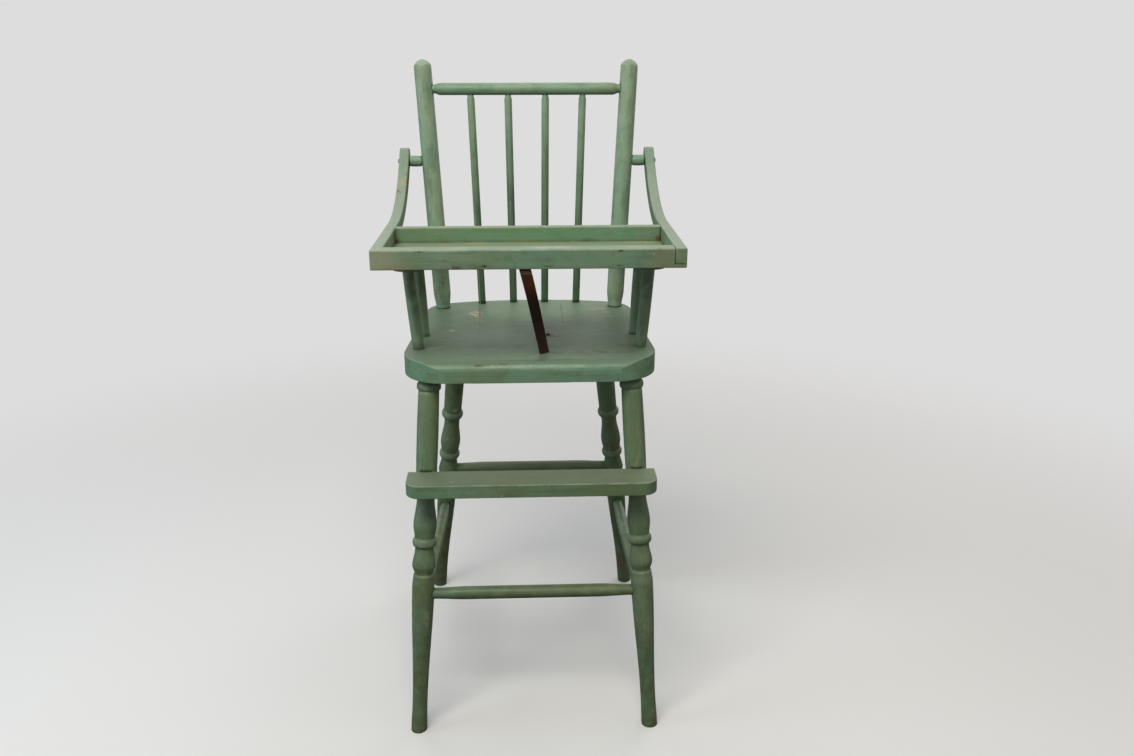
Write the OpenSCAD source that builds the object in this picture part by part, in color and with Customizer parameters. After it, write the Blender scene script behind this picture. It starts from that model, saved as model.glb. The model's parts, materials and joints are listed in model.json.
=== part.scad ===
/* [Seat] */
// Height of the seat's top face above the floor
seat_h = 557; // [540:1:580]
// Thickness of the seat boards
seat_t = 29; // [26:1:34]
// Width of the seat across its front corners
seat_w = 356; // [350:2:370]
// Width of the seat across its back corners
seat_back_w = 330; // [324:2:340]
// Distance of the seat's front edge from the middle of the footprint
seat_front = 169; // [164:1:176]
// Distance of the seat's back edge from the middle of the footprint
seat_back = 179; // [176:1:186]
// Radius of the two front corners
seat_front_r = 60; // [50:1:72]
// Radius of the two back corners
seat_back_r = 48; // [38:1:54]
// Radius of the bow in the back edge
seat_bow_r = 490; // [450:10:700]
// Joint between the left and the middle board, across the seat
left_seam_x = -80; // [-88:1:-60]
// Joint between the middle and the right board, across the seat
right_seam_x = 56; // [46:1:70]
// Opening of the two board joints
seam_gap = 0.2; // [0.1:0.05:0.3]
// Width of the rounding along the front edge, on the top face
nose_w = 16; // [8:1:26]
// Height of that rounding on the front face
nose_h = 12.5; // [8:0.5:18]

/* [Legs] */
// Distance of the front legs' tops from the seat's sides
front_leg_side = 36; // [32:1:42]
// Distance of the front legs' tops from the seat's front edge
front_leg_back = 35; // [32:1:41]
// How far the front feet spread sideways beyond the legs' tops
front_splay_x = 30.4; // [23:0.2:36]
// How far the front feet spread forwards beyond the legs' tops
front_splay_y = 80; // [71:1:88]
// Distance of the rear legs' tops from the seat's back corners, to the side
rear_leg_side = 50; // [43:1:57]
// Distance of the rear legs' tops from the seat's back edge
rear_leg_front = 82; // [75:1:89]
// How far the rear feet spread sideways beyond the legs' tops
rear_splay_x = 58.5; // [50:0.5:65]
// How far the rear feet spread backwards beyond the legs' tops
rear_splay_y = 117; // [108:1:125]
// Diameter of the leg's plain shaft at its top
leg_d = 29.4; // [28:0.2:31]
// How much thicker the plain shaft is at its middle
leg_swell = 1.4; // [0:0.2:2]
// Diameter of the bead under the seat
leg_bead_d = 34.2; // [32:0.2:36]
// Distance of that bead from the seat's underside
leg_bead_at = 14; // [10:1:18]
// Diameter of the two turned rings
leg_ring_d = 35.8; // [34:0.2:37]
// Distance of the upper ring from the seat's underside
upper_ring_at = 160; // [157:1:164]
// Diameter of the neck below the upper ring
leg_neck_d = 25.4; // [23:0.2:27]
// Diameter of the vase between the rings
leg_vase_d = 33.2; // [31:0.2:34]
// Distance of the vase's widest place from the seat's underside
leg_vase_at = 217; // [210:1:222]
// Distance of the lower ring from the seat's underside
lower_ring_at = 243; // [240:1:246]
// Diameter at the waist below the lower ring
leg_waist_d = 26.8; // [25:0.2:28]
// Diameter of the bulge under the lower ring
leg_bulge_d = 33.6; // [31:0.2:35]
// Distance of the groove under the bulge from the seat's underside
leg_groove_at = 291; // [287:1:295]
// Diameter at the bottom of that groove
leg_groove_d = 26.4; // [24:0.2:27]
// Diameter of the lower leg at its fullest
lower_leg_d = 32.4; // [30:0.2:34]
// Distance of the ankle from the seat's underside
ankle_at = 490; // [470:5:500]
// Diameter of the ankle
ankle_d = 22; // [20:0.2:24]
// Diameter of the foot at the floor
foot_d = 23.4; // [22:0.2:27]
// Diameter of the round tenon in the seat
leg_tenon_d = 21; // [18:0.5:23]
// Length of the round tenon in the seat
leg_tenon_l = 20; // [16:1:24]

/* [Stretchers and footrest] */
// Diameter of a stretcher at its middle
stretcher_d = 19; // [17:0.5:21]
// Diameter of a stretcher's ends, which sit in the legs
stretcher_end_d = 16; // [13:0.5:17]
// Distance of the front stretcher from the seat's underside
front_stretcher_drop = 318; // [306:1:321]
// Distance of the rear stretcher from the seat's underside
rear_stretcher_drop = 267; // [248:1:298]
// Distance of the two side stretchers from the seat's underside
side_stretcher_drop = 341; // [339:1:378]
// Distance of the footrest's top face from the seat's underside
footrest_drop = 131.5; // [118:0.5:143]
// Thickness of the footrest board
footrest_t = 19.5; // [15:0.5:22]
// Width of the footrest board, front to back
footrest_w = 51; // [44:1:60]
// Length of the footrest board
footrest_l = 350; // [330:2:370]
// Radius of the footrest's front corners
footrest_r = 20; // [8:1:22]
// Depth that the footrest is let into the legs
footrest_let_in = 4; // [2:0.5:6]

/* [Back] */
// Distance of the back posts from the seat's back corners, to the side
post_side = 24.6; // [21:0.2:29]
// Distance of the back posts from the seat's back edge
post_front = 46.4; // [41:0.2:49]
// How far the back posts lean outwards
post_lean_x = 21; // [16:0.2:24]
// How far the back posts lean backwards
post_lean_y = 34; // [24:0.2:37]
// Height of the back posts above the seat
post_h = 388; // [370:1:400]
// Diameter of a back post
post_d = 27.4; // [25:0.2:29]
// Diameter of a back post where it meets the seat
post_foot_d = 22.6; // [20:0.2:24]
// Diameter of a back post's tenon in the seat
post_tenon_d = 17; // [14:0.5:19]
// Height of the turned tip
post_tip_h = 10.5; // [8:0.5:18]
// Height of the crest rail above the seat
crest_h = 343.5; // [325:0.5:350]
// Diameter of the crest rail
crest_d = 18.6; // [17:0.2:21]
// Diameter of the crest rail's ends, which sit in the posts
crest_end_d = 13; // [11:0.5:15]
// Diameter of a back spindle
spindle_d = 11.8; // [11:0.2:13]
// Diameter of a spindle's upper end, which sits in the crest rail
spindle_end_d = 9; // [8:0.2:10]
// Spacing of the spindles in the seat
spindle_seat_pitch = 52; // [48:1:55]
// Spacing of the spindles in the crest rail
spindle_crest_pitch = 58.6; // [54:0.2:62]
// Distance of the spindles' centres from the seat's back edge
spindle_inset = 13; // [11:1:18]

/* [Armrests] */
// Distance of the armrests' front ends from the tray's front face
armrest_setback = 46; // [36:1:56]
// How far the armrest falls from its front end to the post
armrest_fall = 11.7; // [6:0.1:18]
// Thickness of an armrest
armrest_t = 12; // [11:0.5:15]
// Width of an armrest at its front end
armrest_w = 43; // [38:1:48]
// Distance of an armrest's outer edge from the inner face of the tray's arm above it
armrest_side = 5.5; // [3:0.5:8]
// How far an armrest reaches inwards past the axis of its back post
armrest_back_in = 18; // [16.5:0.5:22]
// How far an armrest reaches outwards past the axis of its back post
armrest_back_out = 26; // [18:0.5:30]
// Radius of an armrest's front corners
armrest_r = 18; // [8:1:20]
// Diameter of an arm post
arm_post_d = 16.6; // [15:0.2:18]
// Diameter of an arm post's tenon in the armrest
arm_tenon_d = 12; // [10:0.5:14]
// Length of an arm post's tenon in the armrest
arm_tenon_l = 8; // [6:0.5:9]
// Distance of the front arm posts from the seat's widest place, at the seat
front_arm_post_side = 19; // [16:1:24]
// Distance of the front arm posts from the armrest's outer edge, at the armrest
front_arm_top_side = 11.4; // [9.4:0.2:15]
// Distance of the front arm posts from the armrests' front ends
front_arm_post_back = 85; // [82:1:96]
// Distance of the rear arm posts from the seat's widest place, at the seat
rear_arm_post_side = 21; // [18:1:28]
// Distance of the rear arm posts from the armrest's outer edge, at the armrest
rear_arm_top_side = 18.4; // [15:0.2:25]
// Distance of the rear arm posts from the armrests' front ends
rear_arm_post_back = 151; // [140:1:180]

/* [Tray] */
// How far the tray stands out in front of the seat's front edge
tray_reach = 57; // [51:1:63]
// Distance from the tray's front face to the front face of its rear rail
tray_depth = 154; // [142:1:166]
// Height of the tray's rim above the seat
tray_rim_h = 169.3; // [155:0.1:175]
// Height of the tray's rails and width of its arms
rail_h = 21; // [18:0.5:24]
// Thickness of the tray's floor board
floor_t = 5; // [3:0.5:7]
// Thickness of the two arms
arm_t = 15; // [13:0.5:16]
// Thickness of the front rail
front_rail_t = 22; // [18:0.5:26]
// Thickness of the rear rail
rear_rail_t = 13; // [11:0.5:16]
// Distance from the rear rail's front face to the place where the arms start to curve up
arm_bend_back = 39; // [22:1:52]
// Height of the pivots above the seat
pivot_h = 234; // [220:1:240]
// How far an arm runs on past its pivot
arm_tail = 13; // [10:1:20]
// Gap between the tray's floor and the armrests
rest_gap = 0.3; // [0.2:0.1:1]

/* [Pivots] */
// Diameter of the wooden spacer between post and arm
spacer_d = 17; // [14:0.5:20]
// Length of the wooden spacer outside its back post
spacer_l = 19.6; // [18:0.2:24]
// Diameter of the pivot screw's shank
pivot_d = 5; // [4:0.5:6]
// Diameter of the pivot screw's round head
pivot_head_d = 9; // [8:0.5:12]
// Height of the pivot screw's round head
pivot_head_h = 2.6; // [2:0.2:4]
// Depth that the pivot screw reaches into the back post
pivot_grip = 22; // [16:1:24]
// Gap on each side of an arm
arm_side_gap = 0.3; // [0.2:0.1:0.6]
// Clearance of the arm on the shank of the pivot screw, on the radius
pivot_clearance = 0.06; // [0.02:0.01:0.1]

/* [Strap] */
// Width of the leather strap
strap_w = 16; // [12:1:20]
// Thickness of the leather strap
strap_t = 2.6; // [2:0.2:4]
// Place across the tray where the strap hangs
strap_x = -10; // [-20:1:0]
// Distance of the strap's fold from the tray's front face
strap_fold_back = 92; // [76:1:101]
// How far the strap's lower end hangs to one side
strap_lean = 30; // [0:1:35]
// Height of the strap's lower end above the seat
strap_end_gap = 1; // [0.5:0.5:20]
// Length of the strap's tab under the tray
strap_tab_l = 24; // [18:1:30]
// Gap between the tab and the hanging part at the fold
strap_play = 0.3; // [0.2:0.1:0.6]

/* [Fits] */
// Clearance of a fixed round tenon or a nail in its hole, on the radius
fit_gap = 0.05; // [0.02:0.01:0.1]
// Space left at the bottom of a socket
socket_end_gap = 0.5; // [0.2:0.1:1]

/* [Hidden] */
$fn = 64;

left = -1;
right = 1;
paint = "darkseagreen";
worn_paint = "#7d9378";
steel = "dimgray";
leather = "#3b2318";
bead_steps = 10;
curve_steps = 8;
seam_way = 45;
far = 2000;

seat_under = seat_h - seat_t;
front_leg_x = seat_w / 2 - front_leg_side;
front_leg_y = seat_front - front_leg_back;
front_foot_x = front_leg_x + front_splay_x;
front_foot_y = front_leg_y + front_splay_y;
rear_leg_x = seat_back_w / 2 - rear_leg_side;
rear_leg_y = seat_back - rear_leg_front;
rear_foot_x = rear_leg_x + rear_splay_x;
rear_foot_y = rear_leg_y + rear_splay_y;
front_stretcher_z = seat_under - front_stretcher_drop;
rear_stretcher_z = seat_under - rear_stretcher_drop;
side_stretcher_z = seat_under - side_stretcher_drop;
footrest_z = seat_under - footrest_drop;
post_base_x = seat_back_w / 2 - post_side;
post_base_y = seat_back - post_front;
crest_z = seat_h + crest_h;
pivot_z = seat_h + pivot_h;
pivot_tip = post_d / 2 - pivot_grip;
bow_centre_y = seat_back - seat_bow_r;
front_corner = [seat_w / 2 - seat_front_r, seat_front_r - seat_front];
back_corner_x = seat_back_w / 2 - seat_back_r;
back_corner = [back_corner_x, bow_centre_y + sqrt((seat_bow_r - seat_back_r) ^ 2 - back_corner_x ^ 2)];

// Turned parts of a leg, as distances from the seat's underside
leg_stub = 40;
leg_bead_half = 6;
ring_half = 6.5;
scribe = 1.2;
scribe_depth = 0.5;
neck_l = 11.5;
vase_shoulder = 1.2;
waist_l = 3;
bulge_shoulder_l = 13;
lower_shoulder_l = 20;
lower_shoulder = 1.4;
neck_at = upper_ring_at + ring_half + neck_l;
bulge_at = leg_groove_at - bulge_shoulder_l;
lower_swell_at = leg_groove_at + lower_shoulder_l;

// Stretchers stop short of a leg's axis and keep their end size past its fattest ring
tenon_setback = 3;
tenon_reach = leg_ring_d / 2 + 1;
stretcher_taper_l = 45;

footrest_mid_z = footrest_z - footrest_t / 2;
footrest_back = front_leg_axis_y(footrest_mid_z) - leg_d / 2 + footrest_let_in;
footrest_front = footrest_back - footrest_w;
footrest_back_r = 2;

post_tenon_l = 22;
post_foot_from = 2;
post_foot_l = 26;
post_swell = 0.2;
post_top_r = post_d / 2 - 0.2;
tip_roundness = 1.25;
crest_taper_l = 11;
arm_post_swell = 0.4;
arm_post_top_less = 0.8;
spindle_socket_l = 16;
spindle_neck_l = 6;

tray_front = seat_front + tray_reach;
tray_rear = tray_front - tray_depth;
tray_back = -tray_rear + rear_rail_t;
tray_rim_z = seat_h + tray_rim_h;
tray_floor_z = tray_rim_z - rail_h;
tray_under_z = tray_floor_z - floor_t;
spacer_end = post_d / 2 + spacer_l;
spacer_swell = 0.3;
spacer_edge = 1.3;
arm_in_x = post_axis(pivot_z).x + spacer_end + arm_side_gap;
tray_w = 2 * (arm_in_x + arm_t);
arm_bend = tray_rear - arm_bend_back;
arm_mid_z = tray_rim_z - rail_h / 2;
pivot_y = post_axis(pivot_z).y;
arm_run = pivot_y + arm_bend;
arm_rise = pivot_z - arm_mid_z;
arm_bend_r = (arm_run ^ 2 + arm_rise ^ 2) / (2 * arm_rise);
arm_turn = 2 * atan(arm_rise / arm_run);
arm_overlap = 0.5;

armrest_front = tray_front - armrest_setback;
armrest_out_x = arm_in_x - armrest_side;
armrest_in_x = armrest_out_x - armrest_w;
armrest_top_z = tray_under_z - rest_gap;
armrest_end_z = armrest_top_z - armrest_fall;
armrest_run = post_axis(armrest_end_z).y + armrest_front;
armrest_slope = atan(armrest_fall / armrest_run);
armrest_l = armrest_run / cos(armrest_slope);
armrest_corner_r = 3;
front_arm_post_x = seat_w / 2 - front_arm_post_side;
front_arm_top_x = armrest_out_x - front_arm_top_side;
front_arm_post_y = armrest_front - front_arm_post_back;
rear_arm_post_x = seat_w / 2 - rear_arm_post_side;
rear_arm_top_x = armrest_out_x - rear_arm_top_side;
rear_arm_post_y = armrest_front - rear_arm_post_back;
armrest_screw_up = 0.6;
armrest_screw_z = armrest_end_z - armrest_t / 2 + armrest_screw_up;

screw_d = 4;
screw_head_d = 8;
screw_head_h = 2.6;
screw_sink = 1.2;
footrest_screw_l = 44;
armrest_screw_l = 46;
nail_d = 1.8;
nail_head_d = 3.6;
nail_head_h = 0.8;
corner_nail_l = 34;
corner_nail_heights = [0.3 * rail_h, 0.72 * rail_h];
floor_nail_l = 17;
floor_nail_pitch = 96;
tack_head_d = 6;
tack_head_h = 1.2;
tack_d = 1.6;
tack_l = 5.6;
stud_at = [27, -34];
stud_head_d = 7;
stud_head_h = 3;
stud_d = 2.4;
stud_l = 14;

strap_fold = tray_front - strap_fold_back;
strap_fold_z = tray_under_z - strap_t - strap_play - strap_t / 2;
strap_drop = strap_fold_z - seat_h - strap_end_gap;
strap_angle = atan(strap_lean / strap_drop);
strap_tab_front = -strap_fold - strap_t / 2;

function at_height(a, b, z) = a + (b - a) * (z - a.z) / (b.z - a.z);
function front_leg_top(side) = [side * front_leg_x, -front_leg_y, seat_under];
function front_foot(side) = [side * front_foot_x, -front_foot_y, 0];
function rear_leg_top(side) = [side * rear_leg_x, rear_leg_y, seat_under];
function rear_foot(side) = [side * rear_foot_x, rear_foot_y, 0];
function front_leg_at(side, z) = at_height(front_leg_top(side), front_foot(side), z);
function rear_leg_at(side, z) = at_height(rear_leg_top(side), rear_foot(side), z);
function front_leg_axis_y(z) = front_leg_at(right, z).y;
function post_base(side) = [side * post_base_x, post_base_y, seat_h];
function post_top(side) = post_base(side) + [side * post_lean_x, post_lean_y, post_h];
function post_axis(z, side = right) = at_height(post_base(side), post_top(side), z);
function armrest_under_z(y) =
    armrest_top_z - (y + armrest_front) * tan(armrest_slope) - armrest_t / cos(armrest_slope);
function bow_y(x) = bow_centre_y + sqrt(seat_bow_r ^ 2 - x ^ 2);
function spindle_base(i) = let (x = (i - 2.5) * spindle_seat_pitch) [x, bow_y(x) - spindle_inset, seat_h];
function spindle_top(i) = [(i - 2.5) * spindle_crest_pitch, post_axis(crest_z).y, crest_z];

// Pieces of a turned outline, as [radius, distance]; each leaves its last point to the next piece
function bead(at, half, base_r, top_r) = [for (i = [0 : bead_steps - 1]) let (t = 2 * i / bead_steps - 1)
    [base_r + (top_r - base_r) * sqrt(1 - t * t), at + half * t]];
function ogee(from, to, r1, r2) = [for (i = [0 : curve_steps - 1]) let (t = i / curve_steps)
    [r1 + (r2 - r1) * (1 - cos(180 * t)) / 2, from + (to - from) * t]];
function swell(from, to, r1, r2, more) = [for (i = [0 : curve_steps - 1]) let (t = i / curve_steps)
    [r1 + (r2 - r1) * t + more * sin(180 * t), from + (to - from) * t]];

// The two points where a straight edge touches a pair of corner circles, going round to the left
function touch(a, ra, b, rb) = let (d = b - a, turn = atan2(d.y, d.x) - acos((ra - rb) / norm(d)),
    out = [cos(turn), sin(turn)]) [a + ra * out, b + rb * out];

// Turns local +Z from point a towards point b, with a round piece's seam kept clear of the way it leans
module along(a, b) {
    d = b - a;
    lean_way = atan2(d.y, d.x);
    translate(a) rotate([0, acos(d.z / norm(d)), lean_way]) rotate(seam_way - lean_way) children();
}

// A flat outline with four rounded corners, each given as [centre, radius]
module rounded_outline(corners) {
    edges = [for (i = [0 : 3]) let (j = (i + 1) % 4)
        touch(corners[i][0], corners[i][1], corners[j][0], corners[j][1])];
    polygon([for (edge = edges) each edge]);
    for (corner = corners) translate(corner[0]) circle(corner[1]);
}

// A countersunk wood screw pointing down from its head's face; grow widens it into its own hole
module wood_screw(l, grow = 0) {
    translate([0, 0, -l - grow]) cylinder(d = screw_d + 2 * grow, h = l);
    translate([0, 0, -screw_head_h])
        cylinder(d1 = screw_d + 2 * grow, d2 = screw_head_d + 2 * grow, h = screw_head_h);
}

// A flat-headed nail pointing down from its head's face; grow widens it into its own hole
module nail(l, d, head_d, head_h, grow = 0) {
    translate([0, 0, -l - grow]) cylinder(d = d + 2 * grow, h = l);
    translate([0, 0, -head_h - grow]) cylinder(d = head_d + 2 * grow, h = head_h + grow);
}

// The seat's outline: rounded corners, straight front and sides, and a bowed back edge
module seat_outline() {
    touching = back_corner + (back_corner - [0, bow_centre_y]) * seat_back_r / (seat_bow_r - seat_back_r);
    side_edge = touch(front_corner, seat_front_r, back_corner, seat_back_r);
    half = [[front_corner.x, -seat_front], side_edge[0], side_edge[1], touching];
    polygon(concat(half, [for (i = [3 : -1 : 0]) [-half[i].x, half[i].y]]));
    for (s = [left, right]) {
        translate([s * front_corner.x, front_corner.y]) circle(seat_front_r, $fn = 128);
        translate([s * back_corner.x, back_corner.y]) circle(seat_back_r, $fn = 128);
    }
    intersection() {
        translate([0, bow_centre_y]) circle(seat_bow_r, $fn = 360);
        translate([-touching.x, touching.y]) square([2 * touching.x, seat_bow_r]);
    }
}

// One pass of a hollow plane along the seat's front edge, which runs out on the round corners
module front_nose() {
    round_over = [for (i = [0 : curve_steps]) let (a = 90 * i / curve_steps)
        [nose_w * (1 - cos(a)), nose_h * sin(a)]];
    translate([-seat_w / 2, -seat_front, seat_h - nose_h]) rotate([90, 0, 90]) linear_extrude(seat_w)
        polygon(concat(round_over, [[nose_w, 2 * nose_h], [-nose_w, 2 * nose_h], [-nose_w, 0]]));
}

// Every round socket in the seat
module seat_sockets() {
    for (side = [left, right]) {
        for (ends = [[front_leg_top(side), front_foot(side)], [rear_leg_top(side), rear_foot(side)]])
            along(ends[0], ends[1]) translate([0, 0, -leg_tenon_l - socket_end_gap])
                cylinder(d = leg_tenon_d + 2 * fit_gap, h = leg_tenon_l + seat_t);
        along(post_base(side), post_top(side)) translate([0, 0, -post_tenon_l - socket_end_gap])
            cylinder(d = post_tenon_d + 2 * fit_gap, h = post_tenon_l + seat_t);
        arm_post_line(side, true) arm_post_socket();
        arm_post_line(side, false) arm_post_socket();
    }
    for (i = [1 : 4])
        along(spindle_base(i), spindle_top(i)) translate([0, 0, -spindle_socket_l - socket_end_gap])
            cylinder(d = spindle_d + 2 * fit_gap, h = spindle_socket_l + seat_t);
    translate([stud_at.x, stud_at.y, seat_h]) seat_stud_shank(fit_gap);
}

module arm_post_socket() {
    translate([0, 0, -post_tenon_l - socket_end_gap])
        cylinder(d = arm_post_d + 2 * fit_gap, h = post_tenon_l + seat_t);
}

module seat_board(from_x, to_x) {
    color(paint) difference() {
        intersection() {
            translate([0, 0, seat_under]) linear_extrude(seat_t) seat_outline();
            translate([from_x, -far / 2, 0]) cube([to_x - from_x, far, far]);
        }
        front_nose();
        seat_sockets();
    }
}

// The outline that all four legs are turned to, for a leg of the given length
function leg_outline(l) = let (
    shaft_r = leg_d / 2, ring_r = leg_ring_d / 2, neck_r = leg_neck_d / 2, vase_r = leg_vase_d / 2,
    waist_r = leg_waist_d / 2, bulge_r = leg_bulge_d / 2, groove_r = leg_groove_d / 2,
    lower_r = lower_leg_d / 2, ankle_r = ankle_d / 2, foot_r = foot_d / 2,
    bead_end = leg_bead_at + leg_bead_half, upper_start = upper_ring_at - ring_half,
    upper_end = upper_ring_at + ring_half, lower_start = lower_ring_at - ring_half,
    lower_end = lower_ring_at + ring_half, scribe_r = shaft_r - scribe_depth
) concat(
    [[0, -leg_stub], [shaft_r, -leg_stub], [shaft_r, leg_bead_at - leg_bead_half]],
    bead(leg_bead_at, leg_bead_half, scribe_r, leg_bead_d / 2),
    [[scribe_r, bead_end], [scribe_r, bead_end + scribe / 2]],
    swell(bead_end + scribe, upper_start - scribe, shaft_r, shaft_r, leg_swell / 2),
    [[shaft_r, upper_start - scribe]],
    bead(upper_ring_at, ring_half, scribe_r, ring_r),
    ogee(upper_end, neck_at, (shaft_r + neck_r) / 2 - scribe_depth, neck_r),
    ogee(neck_at, leg_vase_at, neck_r, vase_r),
    ogee(leg_vase_at, lower_start, vase_r, waist_r + vase_shoulder),
    bead(lower_ring_at, ring_half, waist_r + scribe_depth, ring_r - scribe_depth),
    [[waist_r, lower_end]],
    ogee(lower_end + waist_l, bulge_at, waist_r, bulge_r),
    ogee(bulge_at, leg_groove_at, bulge_r, groove_r),
    [[groove_r, leg_groove_at], [groove_r + scribe_depth, leg_groove_at + scribe / 2]],
    ogee(leg_groove_at + scribe, lower_swell_at, lower_r - lower_shoulder, lower_r),
    ogee(lower_swell_at, ankle_at, lower_r, ankle_r),
    ogee(ankle_at, l, ankle_r, foot_r),
    [[foot_r, l], [foot_r, l + foot_d], [0, l + foot_d]]
);

module leg_blank(top, foot) {
    intersection() {
        along(top, foot) rotate_extrude() polygon(leg_outline(norm(foot - top)));
        translate([-far / 2, -far / 2, 0]) cube([far, far, seat_under]);
    }
    along(top, foot) translate([0, 0, -leg_tenon_l]) cylinder(d = leg_tenon_d, h = leg_tenon_l + seat_t / 2);
}

module front_leg(side) {
    color(paint) difference() {
        leg_blank(front_leg_top(side), front_foot(side));
        stretcher_sockets();
        footrest_board(fit_gap);
        footrest_screw(side, fit_gap);
    }
}

module rear_leg(side) {
    color(paint) difference() {
        leg_blank(rear_leg_top(side), rear_foot(side));
        stretcher_sockets();
    }
}

// A round bar between two axes: turned down at both ends, where it sits in its sockets
module bar_between(a, b, mid_d, end_d, reach, taper_l) {
    l = norm(b - a);
    half = concat([[0, tenon_setback], [end_d / 2, tenon_setback]],
        ogee(reach, reach + taper_l, end_d / 2, mid_d / 2), [[mid_d / 2, reach + taper_l]]);
    along(a, b) rotate_extrude()
        polygon(concat(half, [for (i = [len(half) - 1 : -1 : 0]) [half[i].x, l - half[i].y]]));
}

module socket_between(a, b, end_d) {
    setback = tenon_setback - socket_end_gap;
    along(a, b) translate([0, 0, setback]) cylinder(d = end_d + 2 * fit_gap, h = norm(b - a) - 2 * setback);
}

function front_stretcher_ends() = [for (side = [left, right]) front_leg_at(side, front_stretcher_z)];
function rear_stretcher_ends() = [for (side = [left, right]) rear_leg_at(side, rear_stretcher_z)];
function side_stretcher_ends(side) =
    [front_leg_at(side, side_stretcher_z), rear_leg_at(side, side_stretcher_z)];

module stretcher_sockets() {
    for (ends = [front_stretcher_ends(), rear_stretcher_ends(), side_stretcher_ends(left),
            side_stretcher_ends(right)])
        socket_between(ends[0], ends[1], stretcher_end_d);
}

module stretcher(ends) {
    color(paint) bar_between(ends[0], ends[1], stretcher_d, stretcher_end_d, tenon_reach, stretcher_taper_l);
}

module footrest_board(grow = 0) {
    x = footrest_l / 2;
    translate([0, 0, footrest_z - footrest_t - grow]) linear_extrude(footrest_t + 2 * grow)
        rounded_outline([
            [[footrest_r - x, footrest_front + footrest_r], footrest_r + grow],
            [[x - footrest_r, footrest_front + footrest_r], footrest_r + grow],
            [[x - footrest_back_r, footrest_back - footrest_back_r], footrest_back_r + grow],
            [[footrest_back_r - x, footrest_back - footrest_back_r], footrest_back_r + grow]]);
}

// A screw from behind a front leg into the footrest's back edge
module footrest_screw(side, grow = 0) {
    at = front_leg_at(side, footrest_mid_z);
    translate([at.x, at.y + leg_d / 2 - screw_sink, at.z]) rotate([-90, 0, 0]) {
        wood_screw(footrest_screw_l, grow);
        if (grow > 0) cylinder(d = screw_head_d + 2 * grow, h = leg_d);
    }
}

module footrest() {
    color(worn_paint) difference() {
        footrest_board();
        for (side = [left, right]) footrest_screw(side, fit_gap);
    }
}

module footrest_screws() {
    color(steel) for (side = [left, right]) footrest_screw(side);
}

// A back post: drawn in to its foot, and rounded to a blunt tip
module post_blank(side, grow = 0) {
    l = norm(post_top(side) - post_base(side));
    tip_from = l - post_tip_h;
    foot_r = post_foot_d / 2 + grow;
    r = post_d / 2 + grow;
    top_r = post_top_r + grow;
    tip = [for (a = [0 : 10 : 80])
        [top_r * cos(a) ^ tip_roundness, tip_from + post_tip_h * sin(a) ^ tip_roundness]];
    along(post_base(side), post_top(side)) rotate_extrude()
        polygon(concat([[0, -seat_t / 2], [foot_r, -seat_t / 2]],
            ogee(post_foot_from, post_foot_l, foot_r, r), swell(post_foot_l, tip_from, r, top_r, post_swell),
            tip, [[0, l]]));
}

// Draws the right-hand piece as it is, or its mirror image on the left
module on_side(side) {
    if (side == right) children();
    else mirror([1, 0, 0]) children();
}

module back_post(side) {
    base = post_base(right);
    top = post_top(right);
    color(paint) on_side(side) difference() {
        union() {
            difference() {
                post_blank(right);
                translate(base - [post_d, post_d, seat_t]) cube([2 * post_d, 2 * post_d, seat_t]);
            }
            along(base, top) translate([0, 0, -post_tenon_l])
                cylinder(d = post_tenon_d, h = post_tenon_l + seat_t / 2);
        }
        socket_between(post_axis(crest_z, left), post_axis(crest_z, right), crest_end_d);
        pivot_line(right) translate([0, 0, pivot_tip - socket_end_gap])
            cylinder(d = pivot_d + 2 * fit_gap, h = pivot_grip + post_d);
        armrest_screw(right, fit_gap);
    }
}

module crest_rail() {
    color(paint) difference() {
        bar_between(post_axis(crest_z, left), post_axis(crest_z, right), crest_d, crest_end_d, post_d / 2,
            crest_taper_l);
        for (i = [1 : 4])
            along(spindle_base(i), spindle_top(i))
                cylinder(d = spindle_end_d + 2 * fit_gap, h = spindle_l(i) - tenon_setback + socket_end_gap);
    }
}

function spindle_l(i) = norm(spindle_top(i) - spindle_base(i));

module back_spindle(i) {
    l = spindle_l(i);
    neck = l - crest_d / 2;
    r = spindle_d / 2;
    end_r = spindle_end_d / 2;
    color(paint) along(spindle_base(i), spindle_top(i)) rotate_extrude()
        polygon([[0, -spindle_socket_l], [r, -spindle_socket_l], [r, neck - spindle_neck_l],
            [end_r, neck - 1], [end_r, l - tenon_setback], [0, l - tenon_setback]]);
}

// Puts local +Z along an arm post, from the seat's top face to the armrest's underside
module arm_post_line(side, front) {
    y = front ? -front_arm_post_y : -rear_arm_post_y;
    base_x = front ? front_arm_post_x : rear_arm_post_x;
    top_x = front ? front_arm_top_x : rear_arm_top_x;
    along([side * base_x, y, seat_h], [side * top_x, y, armrest_under_z(y)]) children();
}

function arm_post_l(front) =
    norm([front ? front_arm_top_x - front_arm_post_x : rear_arm_top_x - rear_arm_post_x,
        armrest_under_z(front ? -front_arm_post_y : -rear_arm_post_y) - seat_h]);

module arm_post(side, front) {
    l = arm_post_l(front);
    r = arm_post_d / 2;
    color(paint) {
        difference() {
            arm_post_line(side, front) rotate_extrude()
                polygon(concat([[0, -post_tenon_l], [r, -post_tenon_l]],
                    swell(arm_post_d / 2, l - arm_post_d, r, r, arm_post_swell),
                    [[r, l - arm_post_d], [r - arm_post_top_less, l + arm_post_d / 2],
                        [0, l + arm_post_d / 2]]));
            armrest_frame() translate([-far / 2, -far / 2, -armrest_t]) cube([far, far, far]);
        }
        arm_post_line(side, front) translate([0, 0, l - arm_post_d / 2])
            cylinder(d = arm_tenon_d, h = arm_tenon_l + arm_post_d / 2);
    }
}

// The armrests' own frame: its XY plane is their top face, with the front ends at Y = 0
module armrest_frame() {
    translate([0, -armrest_front, armrest_top_z]) rotate([-armrest_slope, 0, 0]) children();
}

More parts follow.
